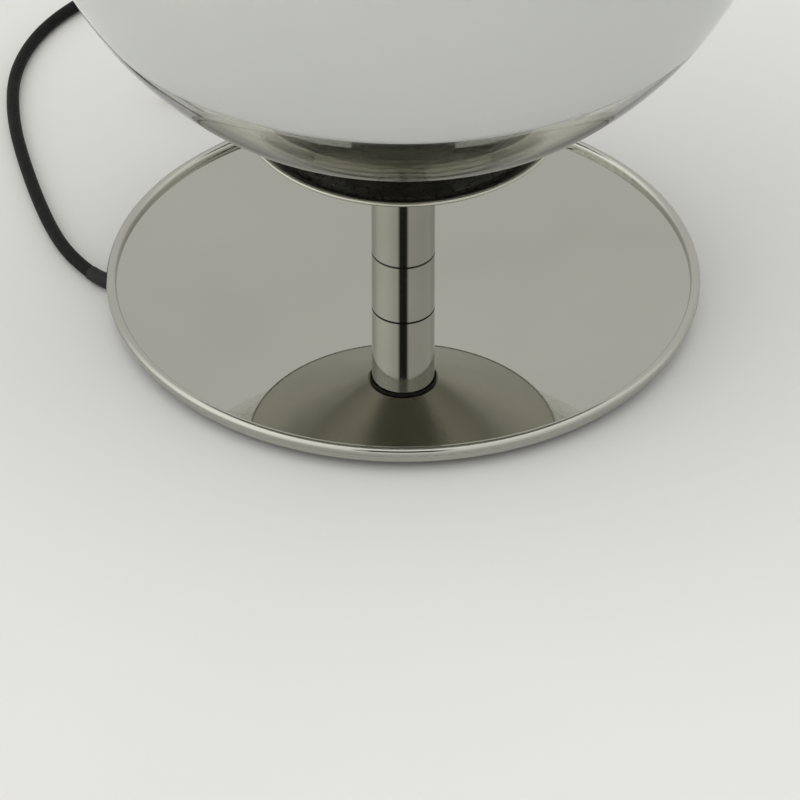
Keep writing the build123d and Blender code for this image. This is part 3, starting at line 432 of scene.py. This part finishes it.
# ---------------------------------------------------------------- globe
def add_globe():
    """Clear glass with the opal layer sunk in its inner face."""
    inner = globe_radius - clear_wall
    inner_middle = globe_middle + clear_drop
    outside_low = -90 + mouth_angle
    inside_low = -90 + (asin(mouth_bore / inner) * 180 / pi)
    outline = arc((0, globe_middle), globe_radius, outside_low, 89.9, 160)
    outline += arc((0, inner_middle), inner, 89.9, inside_low, 160)
    outline += [(mouth_bore, outline[0][1] + 0.3 * mm), (mouth_bore + 0.3 * mm, outline[0][1])]
    shell = lathe("globe_glass", outline, glass, "globe")
    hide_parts("globe_clear")

    sunk = inner + opal_sink
    low = (asin((opal_edge - inner_middle) / sunk) * 180 / pi)
    lining = arc((0, inner_middle), sunk, low, 89.9, 128)
    lining += arc((0, inner_middle), inner - opal_wall, 89.9, low, 128)
    white = lathe("globe_lining", lining, opal, "globe")
    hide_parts("globe_opal")


# ---------------------------------------------------------------- materials of the CAD nodes
def dress_nodes():
    looks = {
        chrome: ["base_shell"],
        turned: ["stem_collar", "stem_tube"],
        spun: ["cup"],
        iron: ["base_ballast"],
        felt_cloth: ["base_felt"],
        zinc: ["base_studs", "base_screws", "base_washer", "base_nut", "threaded_rod", "stem_bush",
               "cup_spacer", "top_washer", "top_nut", "clamp_screws", "switch_screws", "bulb_contact"],
        rubber: ["stem_gasket", "globe_ring", "cord_sleeve"],
        enamel: ["globe_carrier", "globe_spigot"],
        plastic: ["holder_cap", "holder_body", "holder_ring", "clamp_lower", "clamp_upper", "coil_tie",
                  "switch_lower", "switch_upper", "switch_rocker", "plug_body"],
        ceramic: ["holder_insert"],
        brass: ["screw_shell", "holder_contact", "terminal_1", "terminal_2", "switch_contact", "plug_pin_1",
                "plug_pin_2"],
        jacket: ["cord_inner"],
        brown: ["lead_brown"],
        blue: ["lead_blue"],
        frosted: ["bulb_glass"],
        aluminium: ["bulb_cap", "bulb_wheel"],
        black_glass: ["bulb_insulator"],
        glass: ["bulb_stem"],
        phosphor: ["bulb_filaments"],
    }
    for material, names in looks.items():
        for name in names:
            node = nodes[name]
            node.data.materials.clear()
            node.data.materials.append(material)


# ---------------------------------------------------------------- stage and light
def add_floor():
    half = floor_half
    corners = [(-half, -half, 0), (half, -half, 0), (half, half, 0), (-half, half, 0)]
    mesh = bpy.data.meshes.new("floor")
    mesh.from_pydata(corners, [], [(0, 1, 2, 3)])
    floor = bpy.data.objects.new("floor", mesh)
    bpy.context.scene.collection.objects.link(floor)
    made, tree, surface = shader("floor")
    tint = ramp(tree, noise(tree, 2.0), [(0.3, (0.76, 0.76, 0.75)), (0.7, (0.80, 0.80, 0.79))])
    tree.links.new(tint, surface.inputs["Base Color"])
    surface.inputs["Roughness"].default_value = 0.8
    mesh.materials.append(made)


def glow(tree, way, direction, sharpness, strength):
    """A soft bright patch of the sky round a direction."""
    (dot,) = place(tree, "VectorMath")
    dot.operation = "DOT_PRODUCT"
    dot.inputs[1].default_value = Vector(direction).normalized()
    tree.links.new(way, dot.inputs[0])
    near = sums(tree, "MAXIMUM", dot.outputs["Value"], 0.0)
    return sums(tree, "MULTIPLY", sums(tree, "POWER", near, sharpness), strength)


def add_world():
    """A soft studio: darker behind, brighter at the left, with one dark upright in front."""
    world = bpy.data.worlds.new("studio")
    bpy.context.scene.world = world
    world.use_nodes = True
    tree = world.node_tree
    tree.nodes.clear()
    output, background, coords, split = place(tree, "OutputWorld", "Background", "TexCoord", "SeparateXYZ")
    way = coords.outputs["Generated"]
    tree.links.new(way, split.inputs["Vector"])
    across, along, up = split.outputs
    level = sums(tree, "ADD", sums(tree, "MULTIPLY", up, 0.12), 1.0)
    level = sums(tree, "ADD", level, glow(tree, way, (-0.9, -0.25, 0.75), 5.0, 0.45))
    level = sums(tree, "ADD", level, glow(tree, way, (0.6, -0.3, 0.9), 6.0, 0.1))
    level = sums(tree, "SUBTRACT", level, glow(tree, way, (0.95, -0.3, -0.1), 3.0, 0.3))

    # the side behind, which the mirror of the base shows, is darker
    behind = sums(tree, "MULTIPLY", sums(tree, "SUBTRACT", along, 0.25), 3.0, True)
    level = sums(tree, "SUBTRACT", level, sums(tree, "MULTIPLY", behind, 0.30))

    # the dark upright gives the stem its dark line: narrow, in front only, and not overhead
    aside = sums(tree, "ABSOLUTE", sums(tree, "DIVIDE", across, along), 0.0)
    narrow = sums(tree, "MULTIPLY", sums(tree, "SUBTRACT", 0.38, aside), 5.5, True)
    front = sums(tree, "MULTIPLY", sums(tree, "SUBTRACT", -0.2, along), 10.0, True)
    tall = sums(tree, "MULTIPLY", sums(tree, "SUBTRACT", 0.80, up), 10.0, True)
    low = sums(tree, "MULTIPLY", sums(tree, "SUBTRACT", up, 0.25), 10.0, True)
    height = sums(tree, "MULTIPLY", tall, low)
    upright = sums(tree, "MULTIPLY", sums(tree, "MULTIPLY", narrow, front), height)
    shade = sums(tree, "SUBTRACT", 1.0, sums(tree, "MULTIPLY", upright, 0.96))
    level = sums(tree, "MULTIPLY", level, shade)

    (tint,) = place(tree, "CombineColor")
    for socket, share in zip(tint.inputs, (1.0, 0.998, 0.965)):
        tree.links.new(sums(tree, "MULTIPLY", level, share), socket)
    tree.links.new(tint.outputs["Color"], background.inputs["Color"])
    background.inputs["Strength"].default_value = 1.0
    tree.links.new(background.outputs["Background"], output.inputs["Surface"])


# ---------------------------------------------------------------- put together
bpy.context.scene.view_settings.view_transform = "Standard"
add_camera()
add_cord()
add_globe()
dress_nodes()
add_floor()
add_world()
